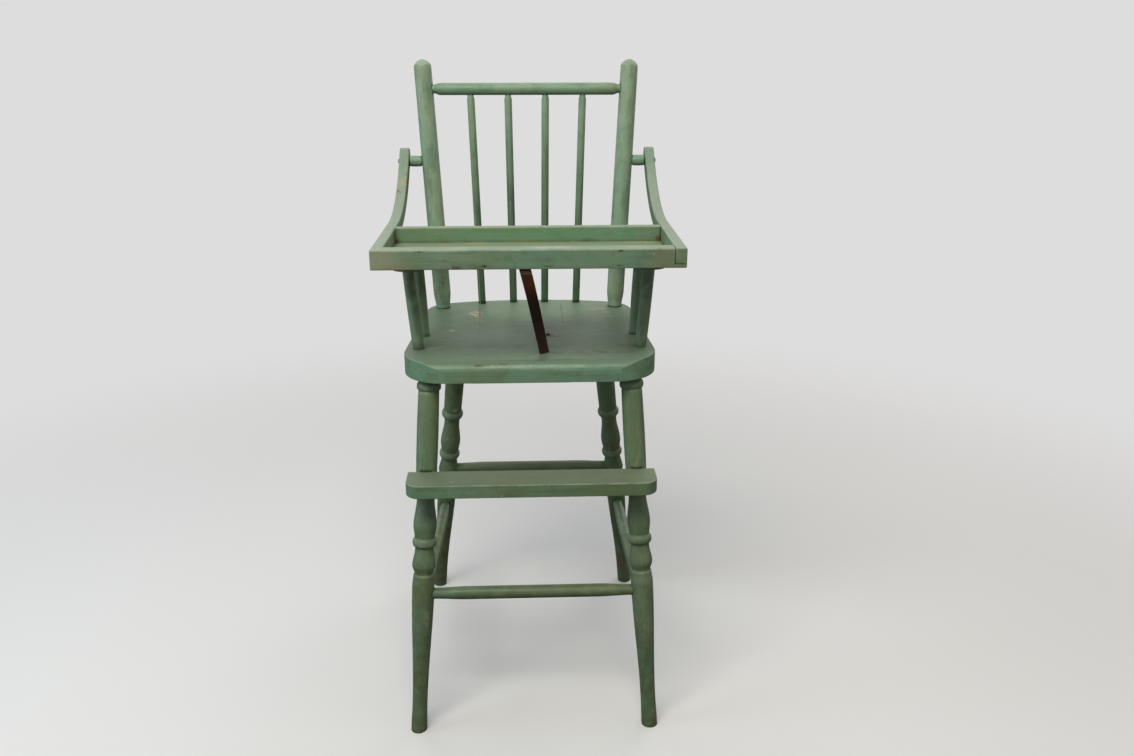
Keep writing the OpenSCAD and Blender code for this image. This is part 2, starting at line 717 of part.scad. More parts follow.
module armrest_board(side) {
    end_x = post_axis(armrest_end_z).x;
    r = armrest_r;
    c = armrest_corner_r;
    armrest_frame() translate([0, 0, -armrest_t]) linear_extrude(armrest_t) scale([side, 1]) rounded_outline([
        [[armrest_in_x + r, r], r], [[armrest_out_x - r, r], r],
        [[end_x + armrest_back_out - c, armrest_l - c], c],
        [[end_x - armrest_back_in + c, armrest_l - c], c]]);
}

module armrest(side) {
    color(paint) difference() {
        armrest_board(side);
        post_blank(side, fit_gap);
        for (front = [true, false]) {
            l = arm_post_l(front);
            arm_post_line(side, front) translate([0, 0, l - arm_post_d])
                cylinder(d = arm_tenon_d + 2 * fit_gap, h = arm_post_d + arm_tenon_l + socket_end_gap);
        }
        armrest_screw(side, fit_gap);
    }
}

// A screw from behind a back post into the end of its armrest
module armrest_screw(side, grow = 0) {
    at = post_axis(armrest_screw_z, side);
    translate([at.x, at.y + post_d / 2 - screw_sink, at.z]) rotate([-90, 0, 0]) {
        wood_screw(armrest_screw_l, grow);
        if (grow > 0) cylinder(d = screw_head_d + 2 * grow, h = post_d);
    }
}

module armrest_screws() {
    color(steel) for (side = [left, right]) armrest_screw(side);
}

// An arm seen from the side: level along the tray, then one arc up to the pivot and a round end
module arm_outline() {
    wedge_r = 2 * arm_bend_r;
    translate([-tray_front, arm_mid_z - rail_h / 2]) square([tray_front - arm_bend, rail_h]);
    translate([-arm_bend, arm_mid_z + arm_bend_r]) intersection() {
        difference() {
            circle(arm_bend_r + rail_h / 2, $fn = 360);
            circle(arm_bend_r - rail_h / 2, $fn = 360);
        }
        polygon([[0, 0], [0, -wedge_r], [wedge_r * tan(arm_turn / 2), -wedge_r],
            [wedge_r * sin(arm_turn), -wedge_r * cos(arm_turn)]]);
    }
    translate([pivot_y, pivot_z]) rotate(arm_turn) {
        translate([-arm_overlap, -rail_h / 2]) square([arm_tail + arm_overlap, rail_h]);
        translate([arm_tail, 0]) circle(rail_h / 2);
    }
}

module tray_arm(side) {
    color(paint) difference() {
        translate([side > 0 ? arm_in_x : -tray_w / 2, 0, 0]) rotate([90, 0, 90])
            linear_extrude(arm_t) arm_outline();
        pivot_line(side) cylinder(r = pivot_d / 2 + pivot_clearance, h = tray_w);
        corner_nails(fit_gap);
        floor_nails(fit_gap);
    }
}

// Puts local +Z along a pivot, outwards from the back post's axis
module pivot_line(side) {
    at = post_axis(pivot_z, side);
    along(at, at + [side, 0, 0]) children();
}

module tray_rail(from_y, t) {
    color(worn_paint) difference() {
        translate([-arm_in_x, from_y, tray_floor_z]) cube([2 * arm_in_x, t, rail_h]);
        corner_nails(fit_gap);
        floor_nails(fit_gap);
    }
}

module tray_floor() {
    color(worn_paint) difference() {
        translate([-tray_w / 2, -tray_front, tray_under_z]) cube([tray_w, tray_front + tray_back, floor_t]);
        floor_nails(fit_gap);
        strap_tack_pair(fit_gap);
    }
}

// Nails through the arms into the ends of the two rails
module corner_nails(grow = 0) {
    for (side = [left, right])
        for (y = [-tray_front + front_rail_t / 2, tray_back - rear_rail_t / 2])
            for (h = corner_nail_heights)
                translate([side * tray_w / 2, y, tray_floor_z + h]) rotate([0, 90 * side, 0])
                    nail(corner_nail_l, nail_d, nail_head_d, nail_head_h, grow);
}

// Nails up through the floor board into the two rails
module floor_nails(grow = 0) {
    for (i = [-1.5 : 1 : 1.5])
        for (y = [-tray_front + front_rail_t / 2, tray_back - rear_rail_t / 2])
            translate([i * floor_nail_pitch, y, tray_under_z]) rotate([180, 0, 0])
                nail(floor_nail_l, nail_d, nail_head_d, nail_head_h, grow);
}

module tray_corner_nails() {
    color(steel) corner_nails();
}

module tray_floor_nails() {
    color(steel) floor_nails();
}

// A turned barrel on the pivot screw, cut to the round of the back post
module pivot_spacer(side) {
    bore_r = pivot_d / 2 + fit_gap;
    r = spacer_d / 2 - spacer_swell;
    edge_r = r - spacer_edge;
    color(paint) difference() {
        pivot_line(side) rotate_extrude() polygon(concat(
            [[bore_r, 0], [edge_r, 0], [edge_r, post_d / 2]],
            swell(post_d / 2 + spacer_edge, spacer_end - spacer_edge, r, r, spacer_swell),
            [[r, spacer_end - spacer_edge], [edge_r, spacer_end], [bore_r, spacer_end]]));
        post_blank(side, fit_gap);
    }
}

module pivot_screw(side) {
    head_at = spacer_end + arm_t + 2 * arm_side_gap;
    color(steel) pivot_line(side) {
        translate([0, 0, pivot_tip]) cylinder(d = pivot_d, h = head_at - pivot_tip + 0.1);
        translate([0, 0, head_at]) rotate_extrude()
            polygon(concat([[0, 0]], [for (a = [0 : 10 : 80])
                [pivot_head_d / 2 * cos(a), pivot_head_h * sin(a)]], [[0, pivot_head_h]]));
    }
}

// The hanging part of the strap, from its fold under the tray down to just above the seat
module strap() {
    slant = strap_w / 2 / cos(strap_angle);
    square_cut = strap_w / 2 * sin(strap_angle);
    drop = strap_drop - square_cut;
    shift = drop * tan(strap_angle);
    color(leather) translate([strap_x, -strap_fold, strap_fold_z]) {
        translate([0, strap_t / 2, 0]) rotate([90, 0, 0]) linear_extrude(strap_t)
            polygon([[-slant, 0], [slant, 0],
                [shift + strap_w / 2 * cos(strap_angle), square_cut - drop],
                [shift - strap_w / 2 * cos(strap_angle), -square_cut - drop]]);
        translate([-slant, 0, 0]) rotate([0, 90, 0]) cylinder(d = strap_t, h = 2 * slant);
    }
}

module strap_tab() {
    color(leather) difference() {
        translate([strap_x - strap_w / 2, strap_tab_front, tray_under_z - strap_t])
            cube([strap_w, strap_tab_l, strap_t]);
        strap_tack_pair(fit_gap);
    }
}

module strap_tack_pair(grow = 0) {
    for (s = [left, right])
        translate([strap_x + s * strap_w / 4, strap_tab_front + strap_tab_l / 2, tray_under_z - strap_t])
            rotate([180, 0, 0]) {
                translate([0, 0, -tack_l - grow]) cylinder(d = tack_d + 2 * grow, h = tack_l + grow);
                cylinder(d1 = tack_head_d + 2 * grow, d2 = tack_d, h = tack_head_h);
            }
}

module strap_tacks() {
    color(steel) strap_tack_pair();
}

module seat_stud_shank(grow = 0) {
    translate([0, 0, -stud_l - grow]) cylinder(d = stud_d + 2 * grow, h = stud_l + grow + 1);
}

module seat_stud() {
    color(steel) translate([stud_at.x, stud_at.y, seat_h]) {
        seat_stud_shank();
        rotate_extrude() polygon(concat([[0, 0]],
            [for (a = [0 : 15 : 75]) [stud_head_d / 2 * cos(a), stud_head_h * sin(a)]], [[0, stud_head_h]]));
    }
}

seat_board(-far / 2, left_seam_x - seam_gap / 2);  // seat_board_left
seat_board(left_seam_x + seam_gap / 2, right_seam_x - seam_gap / 2);  // seat_board_middle
seat_board(right_seam_x + seam_gap / 2, far / 2);  // seat_board_right
front_leg(left);  // front_left_leg
front_leg(right);  // front_right_leg
rear_leg(left);  // rear_left_leg
rear_leg(right);  // rear_right_leg
stretcher(front_stretcher_ends());  // front_stretcher
stretcher(rear_stretcher_ends());  // rear_stretcher
stretcher(side_stretcher_ends(left));  // left_side_stretcher
stretcher(side_stretcher_ends(right));  // right_side_stretcher
footrest();
footrest_screws();
back_post(left);  // left_back_post
back_post(right);  // right_back_post
crest_rail();
for (i = [1 : 4])
    back_spindle(i);
armrest(left);  // left_armrest
armrest(right);  // right_armrest
armrest_screws();
arm_post(left, true);  // front_left_arm_post
arm_post(right, true);  // front_right_arm_post
arm_post(left, false);  // rear_left_arm_post
arm_post(right, false);  // rear_right_arm_post
tray_arm(left);  // left_tray_arm
tray_arm(right);  // right_tray_arm
tray_rail(-tray_front, front_rail_t);  // tray_front_rail
tray_rail(-tray_rear, rear_rail_t);  // tray_rear_rail
tray_floor();
tray_corner_nails();
tray_floor_nails();
pivot_spacer(left);  // left_pivot_spacer
pivot_spacer(right);  // right_pivot_spacer
pivot_screw(left);  // left_pivot_screw
pivot_screw(right);  // right_pivot_screw
strap();
strap_tab();
strap_tacks();
seat_stud();
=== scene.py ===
import json
import math

import bmesh
import bpy
from mathutils import Euler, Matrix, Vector


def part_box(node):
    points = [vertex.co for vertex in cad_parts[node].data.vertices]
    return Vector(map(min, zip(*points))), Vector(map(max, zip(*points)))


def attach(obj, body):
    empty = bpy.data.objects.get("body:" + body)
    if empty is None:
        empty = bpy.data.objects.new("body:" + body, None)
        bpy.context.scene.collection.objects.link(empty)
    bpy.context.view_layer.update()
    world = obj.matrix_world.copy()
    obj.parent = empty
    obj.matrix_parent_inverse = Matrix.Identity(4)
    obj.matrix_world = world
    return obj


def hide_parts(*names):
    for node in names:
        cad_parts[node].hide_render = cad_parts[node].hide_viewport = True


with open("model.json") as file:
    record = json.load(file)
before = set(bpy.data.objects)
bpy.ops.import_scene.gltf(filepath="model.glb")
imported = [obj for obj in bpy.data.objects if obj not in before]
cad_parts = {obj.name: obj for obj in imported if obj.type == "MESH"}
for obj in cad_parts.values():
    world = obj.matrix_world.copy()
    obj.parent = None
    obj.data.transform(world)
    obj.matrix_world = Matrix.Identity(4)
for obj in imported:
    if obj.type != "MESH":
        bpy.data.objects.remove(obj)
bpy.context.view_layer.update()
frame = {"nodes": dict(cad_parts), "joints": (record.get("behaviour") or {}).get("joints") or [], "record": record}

mm = 0.001
nodes = frame["nodes"]
bodyOf = {n: body for body, names in frame["record"]["behaviour"]["bodies"].items() for n in names}
joints = {j["name"]: j for j in frame["joints"]}


# Small helpers for shader nodes

def hexColour(text):
    # an sRGB hex colour in the linear values that a shader wants
    parts = [int(text[i:i + 2], 16) / 255 for i in (1, 3, 5)]
    return tuple(c / 12.92 if c <= 0.04045 else ((c + 0.055) / 1.055) ** 2.4 for c in parts) + (1.0,)


def addNode(tree, kind, settings=None, links=None):
    # settings are a node's own properties or, by name or number, the values of its sockets
    node = tree.nodes.new(kind)
    for name, value in (settings or {}).items():
        if isinstance(name, str) and hasattr(node, name):
            setattr(node, name, value)
        else:
            node.inputs[name].default_value = value
    for name, source in (links or {}).items():
        tree.links.new(source, node.inputs[name])
    return node


def newMaterial(name, ownValues):
    # ownValues stay on the shader's own sockets
    material = bpy.data.materials.new(name)
    material.use_nodes = True
    tree = material.node_tree
    tree.nodes.clear()
    shader = addNode(tree, "ShaderNodeBsdfPrincipled", ownValues)
    addNode(tree, "ShaderNodeOutputMaterial", links={"Surface": shader.outputs["BSDF"]})
    place = addNode(tree, "ShaderNodeTexCoord").outputs["Object"]
    return material, tree, shader, place


def rising(tree, value, low, high):
    # from 0 at low to 1 at high, smooth between; with low above high it falls
    ends = {"From Min": min(low, high), "From Max": max(low, high),
            "To Min": float(low > high), "To Max": float(low < high)}
    ramp = addNode(tree, "ShaderNodeMapRange", {"interpolation_type": "SMOOTHSTEP", **ends}, {"Value": value})
    return ramp.outputs["Result"]


def joined(tree, a, b, operation="MULTIPLY"):
    maths = addNode(tree, "ShaderNodeMath", {"operation": operation}, {0: a})
    if isinstance(b, (int, float)):
        maths.inputs[1].default_value = b
    else:
        tree.links.new(b, maths.inputs[1])
    return maths.outputs[0]


def laidOn(tree, under, over, share, most=1.0):
    # the colour over, laid on the colour under where share says, by most at the most
    mix = addNode(tree, "ShaderNodeMix", {"data_type": "RGBA"}, {0: joined(tree, share, most), 6: under})
    mix.inputs[7].default_value = hexColour(over)
    return mix.outputs[2]


def patches(tree, place, sizeMm, drawnOut=(1, 1, 1), detail=3.0, shift=0.0):
    # cloudy noise with patches about sizeMm across, drawn out along the axis whose factor is above 1
    moved = addNode(tree, "ShaderNodeMapping", {
        "Scale": [1 / d for d in drawnOut], "Location": (shift, -shift, shift / 2)}, {"Vector": place})
    cloud = addNode(tree, "ShaderNodeTexNoise", {
        "Scale": 1 / (2 * sizeMm * mm), "Detail": detail, "Roughness": 0.55}, {"Vector": moved.outputs["Vector"]})
    return cloud.outputs["Fac"]


def near(tree, place, atMm, sizeMm, turnDeg=0):
    # 1 at a place on the chair, fading to 0 at sizeMm from it; turnDeg turns that reach about Z
    moved = addNode(tree, "ShaderNodeMapping", {
        "vector_type": "TEXTURE", "Location": [c * mm for c in atMm], "Scale": [c * mm for c in sizeMm],
        "Rotation": (0, 0, math.radians(turnDeg))}, {"Vector": place})
    away = addNode(tree, "ShaderNodeVectorMath", {"operation": "LENGTH"}, {0: moved.outputs["Vector"]})
    return rising(tree, away.outputs["Value"], 1.0, 0.2)


# Materials

paint = {
    "green": "#768f71",        # sage green, as on tray and seat
    "seatGreen": "#77987a",    # the seat's edges, a little fresher
    "legGreen": "#6e8059",     # darker and more olive, handled and kicked for years
    "footGreen": "#6c8762",    # the footrest's, between the two
    "postGreenLitPaler": "#97ad8d",    # paler paint on the posts: painted light, for the light they stand in
    "railGreen": "#88a282",    # crest rail and spindles, between the posts' green and the tray's
    "armPostGreenLitPaler": "#93ae8d", # paler paint under the arms: painted light, like the posts'
    "faded": "#93a48b",        # bleached by light and washing
    "deep": "#50694f",         # thick paint in laps and runs
    "olive": "#6b7148",        # yellowed, handled paint
    "cool": "#64937a",         # the paint's own bluish green, where little has touched it
    "grimeAndShade": "#30341f",        # dark of the painted shade in corners and recesses, and of dirt low down and in specks
    "rubbed": "#a6ad97",       # thin, chalky paint over the arrises
    "undercoat": "#c2b797",    # cream, where the green has chipped
    "bareWood": "#7a6247",     # old beech under both
    "brushMarkMm": 1.0,        # a bristle mark is 0.3 mm, drawn wider so that it shows
    "brushStrokeMm": 60,
    "streakMm": 6,
    "mottleMm": 8,
    "fadeMm": 65,
    "hueMm": 45,
    "rubMm": 9,
    "chipMm": 4,
    "cornerShadeReachMm": 9,
}

alongAxis = {"x": 0, "y": 1, "z": 2}


def paintedBeech(name, along, base="green", wear=1.0, grimeAndShade=1.0, cool=0.3, toned=0.35, topWashAndLight=None,
                 darkerTowardsFloor=0.0, marks=()):
    # Oil paint brushed on turned and planed beech, decades old: semi-matt, streaked along the piece,
    # chalky where it has faded, darkened with painted shade and dirt in its corners and thin on its arrises.
    material, tree, shader, place = newMaterial(name, {"IOR": 1.48})
    brushed = [1, 1, 1]
    brushed[alongAxis[along]] = paint["brushStrokeMm"] / paint["brushMarkMm"]
    brushMarks = patches(tree, place, paint["brushMarkMm"], brushed, detail=2.0)
    drawnOut = [5 if b > 1 else 1 for b in brushed]
    streaks = patches(tree, place, paint["streakMm"], drawnOut, detail=3.0, shift=9.3)
    mottle = patches(tree, place, paint["mottleMm"], detail=4.0, shift=3.1)
    fade = patches(tree, place, paint["fadeMm"], detail=2.5, shift=7.7)
    hue = patches(tree, place, paint["hueMm"], detail=2.5, shift=11.9)
    rub = patches(tree, place, paint["rubMm"], detail=5.0, shift=1.3)
    chip = patches(tree, place, paint["chipMm"], detail=2.0, shift=5.9)

    colour = addNode(tree, "ShaderNodeRGB").outputs[0]
    colour.default_value = hexColour(paint[base])
    colour = laidOn(tree, colour, paint["faded"], rising(tree, fade, 0.45, 0.7), 0.35)
    colour = laidOn(tree, colour, paint["cool"], rising(tree, hue, 0.48, 0.62), cool)
    colour = laidOn(tree, colour, paint["olive"], rising(tree, hue, 0.52, 0.36), toned)
    colour = laidOn(tree, colour, paint["deep"], rising(tree, streaks, 0.5, 0.66), 0.34)
    colour = laidOn(tree, colour, paint["faded"], rising(tree, streaks, 0.45, 0.3), 0.25)
    colour = laidOn(tree, colour, paint["deep"], rising(tree, mottle, 0.5, 0.75), 0.35)
    colour = laidOn(tree, colour, paint["deep"], rising(tree, brushMarks, 0.5, 0.72), 0.22)
    colour = laidOn(tree, colour, paint["faded"], rising(tree, brushMarks, 0.46, 0.3), 0.2)

    if topWashAndLight:  # upward faces get their own colour: partly wear from scrubbing and sitting, partly painted light from above
        facing = addNode(tree, "ShaderNodeSeparateXYZ", links={
            0: addNode(tree, "ShaderNodeNewGeometry").outputs["Normal"]}).outputs["Z"]
        colour = laidOn(tree, colour, topWashAndLight, rising(tree, facing, 0.6, 0.95), 0.75)

    if darkerTowardsFloor:  # darker towards the floor, from half a metre down, in patches
        height = addNode(tree, "ShaderNodeSeparateXYZ", links={0: place}).outputs["Z"]
        lowDarkening = joined(tree, rising(tree, height, 0.5, 0.02), rising(tree, mottle, 0.2, 0.6))
        colour = laidOn(tree, colour, paint["grimeAndShade"], lowDarkening, darkerTowardsFloor)

    arris = addNode(tree, "ShaderNodeAttribute", {"attribute_name": "arris"}).outputs["Fac"]
    thin = joined(tree, arris, rising(tree, rub, 0.36, 0.6))
    colour = laidOn(tree, colour, paint["rubbed"], thin, 0.5 * wear)
    through = joined(tree, arris, rising(tree, rub, 0.62, 0.68))
    colour = laidOn(tree, colour, paint["bareWood"], through, 0.4 * wear)

    chipped = joined(tree, rising(tree, chip, 0.71, 0.73), rising(tree, fade, 0.5, 0.6))
    colour = laidOn(tree, colour, paint["undercoat"], chipped, 0.6 * wear)

    # marks of use, and painted shadow, shade and highlight where a look's list holds them
    for atMm, sizeMm, markColour, most, brokenMm, *turnDeg in marks:
        spot = near(tree, place, atMm, sizeMm, *turnDeg)
        if brokenMm:
            cloud = patches(tree, place, brokenMm, detail=4.0, shift=atMm[0] / 10)
            spot = joined(tree, spot, rising(tree, cloud, 0.38, 0.58))
        colour = laidOn(tree, colour, markColour, spot, most)

    # painted shade: darker in corners, recesses and between parts, as far as ambient occlusion finds shelter, broken
    # with dirt
    shelter = addNode(tree, "ShaderNodeAmbientOcclusion", {
        "samples": 6, "Distance": paint["cornerShadeReachMm"] * mm}).outputs["AO"]
    cornerShadeAndDirt = joined(tree, rising(tree, shelter, 0.75, 0.25), rising(tree, rub, 0.2, 0.5))
    colour = laidOn(tree, colour, paint["grimeAndShade"], cornerShadeAndDirt, 0.85 * grimeAndShade)
    speck = joined(tree, rising(tree, patches(tree, place, 1.8, detail=1.0, shift=2.2), 0.68, 0.74), mottle)
    colour = laidOn(tree, colour, paint["grimeAndShade"], speck, 0.5 * grimeAndShade)
    tree.links.new(colour, shader.inputs["Base Color"])

    sheen = addNode(tree, "ShaderNodeMapRange", {"To Min": 0.38, "To Max": 0.62}, {"Value": mottle})
    dull = joined(tree, joined(tree, thin, cornerShadeAndDirt, "MAXIMUM"), 0.25)
    tree.links.new(joined(tree, sheen.outputs["Result"], dull, "ADD"), shader.inputs["Roughness"])

    height = joined(tree, joined(tree, brushMarks, 0.5), joined(tree, mottle, 0.9), "ADD")
    height = joined(tree, height, joined(tree, joined(tree, chipped, through, "MAXIMUM"), 0.6), "SUBTRACT")
    bump = addNode(tree, "ShaderNodeBump", {"Strength": 0.5, "Distance": 0.25 * mm}, {"Height": height})
    tree.links.new(bump.outputs["Normal"], shader.inputs["Normal"])
    return material


iron = {"dark": "#38332e", "rust": "#4b382d", "rustMm": 2.0, "grit": 0.7}


def oldSteel(name):
    # Mild steel nails and screws, brown with age: a dull sheen broken by rust.
    material, tree, shader, place = newMaterial(name, {"Metallic": 0.85})
    rust = patches(tree, place, iron["rustMm"], detail=4.0)
    grit = patches(tree, place, iron["grit"], detail=2.0, shift=4.0)
    colour = addNode(tree, "ShaderNodeRGB").outputs[0]
    colour.default_value = hexColour(iron["dark"])
    colour = laidOn(tree, colour, iron["rust"], rising(tree, rust, 0.42, 0.6))
    tree.links.new(colour, shader.inputs["Base Color"])
    dull = addNode(tree, "ShaderNodeMapRange", {"To Min": 0.4, "To Max": 0.75}, {"Value": rust})
    tree.links.new(dull.outputs["Result"], shader.inputs["Roughness"])
    bump = addNode(tree, "ShaderNodeBump", {"Strength": 0.5, "Distance": 0.15 * mm}, {"Height": grit})
    tree.links.new(bump.outputs["Normal"], shader.inputs["Normal"])
    return material


hide = {
    "dark": "#302019",         # harness leather gone nearly black
    "brown": "#6a3f2c",        # where it has been handled
    "tan": "#9a5a3a",          # just under the fold, where hands have rubbed it most
    "creaseAndBendHighlight": "#d6c6b0",       # its dry crease just under the fold, pale as a painted highlight where it bends
    "crack": "#140d09",
    "rawEdge": "#6d5138",
    "handledMm": (66, 26, 24, 14),  # how far below the fold the tan starts, is full, fades and is gone
    "bendHighlightMm": (25, 22.5, 20.5, 18),  # the same for the crease and its painted highlight
    "grainMm": 0.9,            # real grain is 0.4 mm, drawn coarser so that it shows
    "creaseMm": 1.6,
}


def harnessLeather(name, foldAtM):
    # Vegetable-tanned strap leather, waxed and handled: dark, softly shining, creased across its length,
    # browner near its fold.
    material, tree, shader, place = newMaterial(name, {"IOR": 1.46, "Specular IOR Level": 0.25})
    grain = addNode(tree, "ShaderNodeTexVoronoi", {"Scale": 1 / (hide["grainMm"] * mm)},
                    {"Vector": place}).outputs["Distance"]
    creases = patches(tree, place, hide["creaseMm"], (9, 9, 1), detail=3.0)
    cloud = patches(tree, place, 9, detail=3.0, shift=2.0)
    colour = addNode(tree, "ShaderNodeRGB").outputs[0]
    colour.default_value = hexColour(hide["dark"])
    drop = addNode(tree, "ShaderNodeSeparateXYZ", links={0: place}).outputs["Z"]

    def between(start, full, fades, gone):
        return (rising(tree, drop, foldAtM.z - start * mm, foldAtM.z - full * mm),
                rising(tree, drop, foldAtM.z - gone * mm, foldAtM.z - fades * mm))

    lower, upper = between(*hide["handledMm"])
    handled = joined(tree, joined(tree, lower, rising(tree, cloud, 0.1, 0.35)), upper)
    colour = laidOn(tree, colour, hide["tan"], handled, 0.9)
    # a pale band under the fold: dry crease, and painted highlight of the bend
    bendHighlight = joined(tree, *between(*hide["bendHighlightMm"]))
    colour = laidOn(tree, colour, hide["creaseAndBendHighlight"], joined(tree, bendHighlight, rising(tree, creases, 0.3, 0.6)), 0.8)
    colour = laidOn(tree, colour, hide["brown"], rising(tree, cloud, 0.52, 0.75), 0.35)
    arris = addNode(tree, "ShaderNodeAttribute", {"attribute_name": "arris"}).outputs["Fac"]
    colour = laidOn(tree, colour, hide["rawEdge"], joined(tree, arris, rising(tree, cloud, 0.3, 0.6)), 0.5)
    colour = laidOn(tree, colour, hide["crack"], rising(tree, creases, 0.6, 0.7), 0.6)
    tree.links.new(colour, shader.inputs["Base Color"])
    worn = addNode(tree, "ShaderNodeMapRange", {"To Min": 0.42, "To Max": 0.65}, {"Value": cloud})
    tree.links.new(worn.outputs["Result"], shader.inputs["Roughness"])
    height = joined(tree, joined(tree, grain, 0.5), joined(tree, creases, 1.2), "SUBTRACT")
    bump = addNode(tree, "ShaderNodeBump", {"Strength": 0.6, "Distance": 0.3 * mm}, {"Height": height})
    tree.links.new(bump.outputs["Normal"], shader.inputs["Normal"])
    return material


# Marks of use, and on the seat and arm posts painted shadow, shade and highlight: place and reach on the
# chair in mm, colour, most, size of its patches (0: unbroken), turn about Z
seatMarksAndPaintedLight = [
    ((-87, 88, 557), (15, 30, 8), "#cdbf9c", 1.0, 6), ((-79, 52, 557), (8, 20, 8), "#aea27f", 0.8, 6),
    ((-118, -4, 557), (8, 11, 6), "#c4b793", 1.0, 5), ((112, 112, 557), (19, 13, 6), "#b0a682", 0.95, 6),
    ((124, 92, 557), (11, 8, 6), "#a79d7a", 0.9, 5), ((115, 4, 557), (8, 8, 6), "#9c9778", 0.7, 5),
    ((32, -36, 557), (24, 20, 6), "#3f3a2c", 0.75, 7), ((34, -22, 557), (7, 6, 4), "#a9a394", 0.8, 3),
    ((-40, -166, 552), (14, 9, 5), "#5e4d3b", 0.6, 5),
    # painted light on the seat: the pale band along the nose's crest is a painted highlight, the thin dark line above
    # it painted shade, and the broad dark patches at 30, 10; 26, -40 and 70, -122 the tray's shadow painted on
    ((-66, -165, 552), (20, 3, 3), "#33301f", 0.9, 4), ((0, -166, 551), (160, 4, 3.5), "#a3b7a2", 0.8, 22),
    ((20, -156, 557), (120, 3, 3), "#4c5743", 0.6, 12), ((30, 10, 557), (120, 70, 8), "#5c6452", 0.35, 22),
    ((26, -40, 557), (56, 130, 6), "#454b3b", 0.45, 0), ((70, -122, 557), (110, 15, 6), "#454b3b", 0.5, 9),
    ((-66, -40, 557), (62, 80, 6), "#8e9d86", 0.35, 0), ((-10, -92, 557), (110, 20, 6), "#4f5846", 0.4, 12),
    ((90, -120, 557), (50, 12, 6), "#8f9c87", 0.6, 12),
    # the two dark patches inside the arm posts' feet are the posts' shadows painted on the seat
    ((-141, -95, 557), (34, 26, 6), "#4a4a38", 0.45, 12), ((143, -88, 557), (34, 26, 6), "#4a4a38", 0.4, 12)]
seatJoints = [((-78, 58, 557), (1.4, 124, 5), "#22261c", 1.0, 40, 2.3),
              ((52, 88, 557), (1.4, 98, 5), "#22261c", 1.0, 40)]
trayMarks = [
    ((-196, -226, 712), (50, 16, 34), "#9ba285", 0.8, 0), ((-168, -226, 703.5), (30, 8, 7), "#948a63", 0.6, 9),
    ((-186, -80, 716), (6, 20, 22), "#4f3b2a", 1.0, 6), ((-150, -72, 716), (60, 5, 14), "#6b8457", 0.7, 22),
    ((150, -72, 716), (60, 5, 14), "#588c6c", 0.6, 22), ((0, -72, 716), (230, 5, 16), "#66946a", 0.5, 0),
    ((183, -73, 708), (9, 14, 7), "#6d4a33", 0.9, 5),
    ((-128, -78, 706), (52, 12, 5), "#75692f", 0.7, 8), ((-74, -80, 705.5), (26, 7, 4), "#b09568", 0.95, 6),
    ((-12, -76, 706), (40, 6, 6), "#8f8350", 0.7, 8), ((150, -82, 705.5), (46, 5, 4), "#b9a984", 0.9, 7),
    ((34, -78, 705.5), (44, 8, 5), "#7c8148", 0.7, 8), ((84, -73, 707), (16, 6, 5), "#5d5936", 0.7, 5),
    ((176, -226, 711), (26, 12, 20), "#7c7c58", 0.5, 12), ((-88, -226, 703), (34, 5, 4), "#564a33", 0.8, 6),
    ((-57, -226, 704.8), (6, 4, 2.2), "#1f1d15", 1.0, 5), ((-40, -226, 713), (3, 4, 2), "#2a2a1d", 0.8, 4),
    ((116, -226, 704.4), (10, 4, 1.8), "#1f1d15", 1.0, 5), ((-143, -226, 724), (14, 6, 2.5), "#42503b", 0.8, 6),
    ((117, -226, 723.5), (9, 6, 2.2), "#2c3526", 0.9, 5), ((20, -226, 704.4), (18, 4, 1.6), "#3b4430", 0.7, 6)]
rimMarks = [
    ((-120, -215, 726), (70, 12, 3), "#a5ad9b", 0.8, 14), ((28, -215, 726), (44, 12, 3), "#b0b2a4", 0.8, 12),
    ((130, -215, 726), (34, 12, 3), "#a3ad93", 0.7, 12), ((-60, -66, 726), (120, 9, 3), "#a39c84", 0.6, 9),
    ((110, -66, 726), (80, 9, 3), "#9d9a7e", 0.5, 9)]
armMarks = [
    ((-191, 104, 766), (9, 15, 11), "#a8956b", 0.8, 5), ((-196, 91, 758), (6, 9, 7), "#c4aa7c", 1.0, 5),
    ((-197, 84, 755), (8, 9, 6), "#7f5334", 0.8, 4), ((-188, 119, 776), (3, 5, 6), "#44392a", 0.9, 4),
    ((-187, 106, 766), (2.5, 12, 9), "#5d4630", 0.9, 4), ((-196, 70, 748), (9, 16, 9), "#968f72", 0.7, 6),
    ((196, 60, 745), (10, 16, 10), "#958c6c", 0.4, 6)]
legMarks = [
    ((158, 192, 42), (20, 20, 46), "#79603f", 0.9, 7), ((-155, -202, 178), (5, 10, 18), "#a3946b", 0.9, 3),
    ((161, -206, 146.5), (7, 8, 2), "#aab29a", 0.9, 3), ((180, -210, 60), (6, 12, 17), "#8a5f3e", 0.85, 5),
    ((-168, -204, 30), (16, 16, 30), "#6d6a4c", 0.5, 8), ((158, -146, 477), (5, 12, 8), "#a58a78", 0.9, 4),
    ((-125, 116, 382), (9, 14, 8), "#b5aa90", 0.9, 3), ((-143, 127, 327), (4, 6, 4), "#a8a78c", 0.8, 3),
    ((148, -146, 468), (24, 30, 62), "#557a55", 0.45, 10),
    ((172, -214, 3), (18, 18, 5), "#4c4636", 0.9, 5), ((-172, -214, 3), (18, 18, 5), "#4c4636", 0.9, 5)]
postMarks = [
    ((-156, 140, 742), (14, 14, 22), "#8a8a68", 0.5, 8), ((-139, 126, 602), (3, 9, 15), "#5a553c", 0.8, 4),
    ((-143, 125, 580), (4, 9, 16), "#5a553c", 0.8, 4), ((-146, 130, 640), (14, 14, 30), "#6f6a4e", 0.4, 9)]
